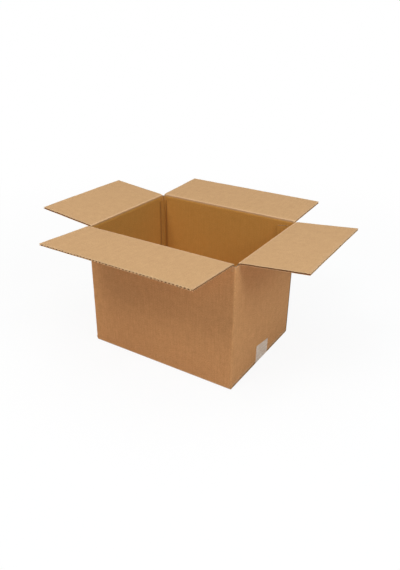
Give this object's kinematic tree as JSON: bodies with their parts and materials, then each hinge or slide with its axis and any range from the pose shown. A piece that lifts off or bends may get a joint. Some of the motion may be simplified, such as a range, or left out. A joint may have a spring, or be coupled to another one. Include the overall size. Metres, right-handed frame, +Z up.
{
  "type": "open cardboard box",
  "caption": "Open slotted carton of corrugated board with hinged top flaps standing open and a taped bottom.",
  "frame": {"origin": "centre of the base, on the surface that the carton stands on", "axes": "+X along the long walls towards the right end wall, +Y from the front wall to the back wall, +Z up out of the mouth"},
  "size_m": [0.5396, 0.471, 0.2529],
  "materials": {
    "board": "matte",
    "tape": "satin"
  },
  "bodies": {
    "carton": {"carton_body": "board", "sealing_tape": "tape"},
    "front_flap": {"front_flap": "board"},
    "back_flap": {"back_flap": "board"},
    "left_flap": {"left_flap": "board"},
    "right_flap": {"right_flap": "board"}
  },
  "joints": [
    {"name": "front_flap_crease", "type": "hinge", "parent": "carton", "child": "front_flap", "pos_m": [0, -0.118, 0.2388], "axis": [-1, 0, 0], "range_deg": [-91, 177]},
    {"name": "back_flap_crease", "type": "hinge", "parent": "carton", "child": "back_flap", "pos_m": [0, 0.118, 0.2388], "axis": [1, 0, 0], "range_deg": [-91, 177]},
    {"name": "left_flap_crease", "type": "hinge", "parent": "carton", "child": "left_flap", "pos_m": [-0.153, 0, 0.2356], "axis": [0, 1, 0], "range_deg": [-95, 173]},
    {"name": "right_flap_crease", "type": "hinge", "parent": "carton", "child": "right_flap", "pos_m": [0.153, 0, 0.2356], "axis": [0, -1, 0], "range_deg": [-95, 173]}
  ]
}
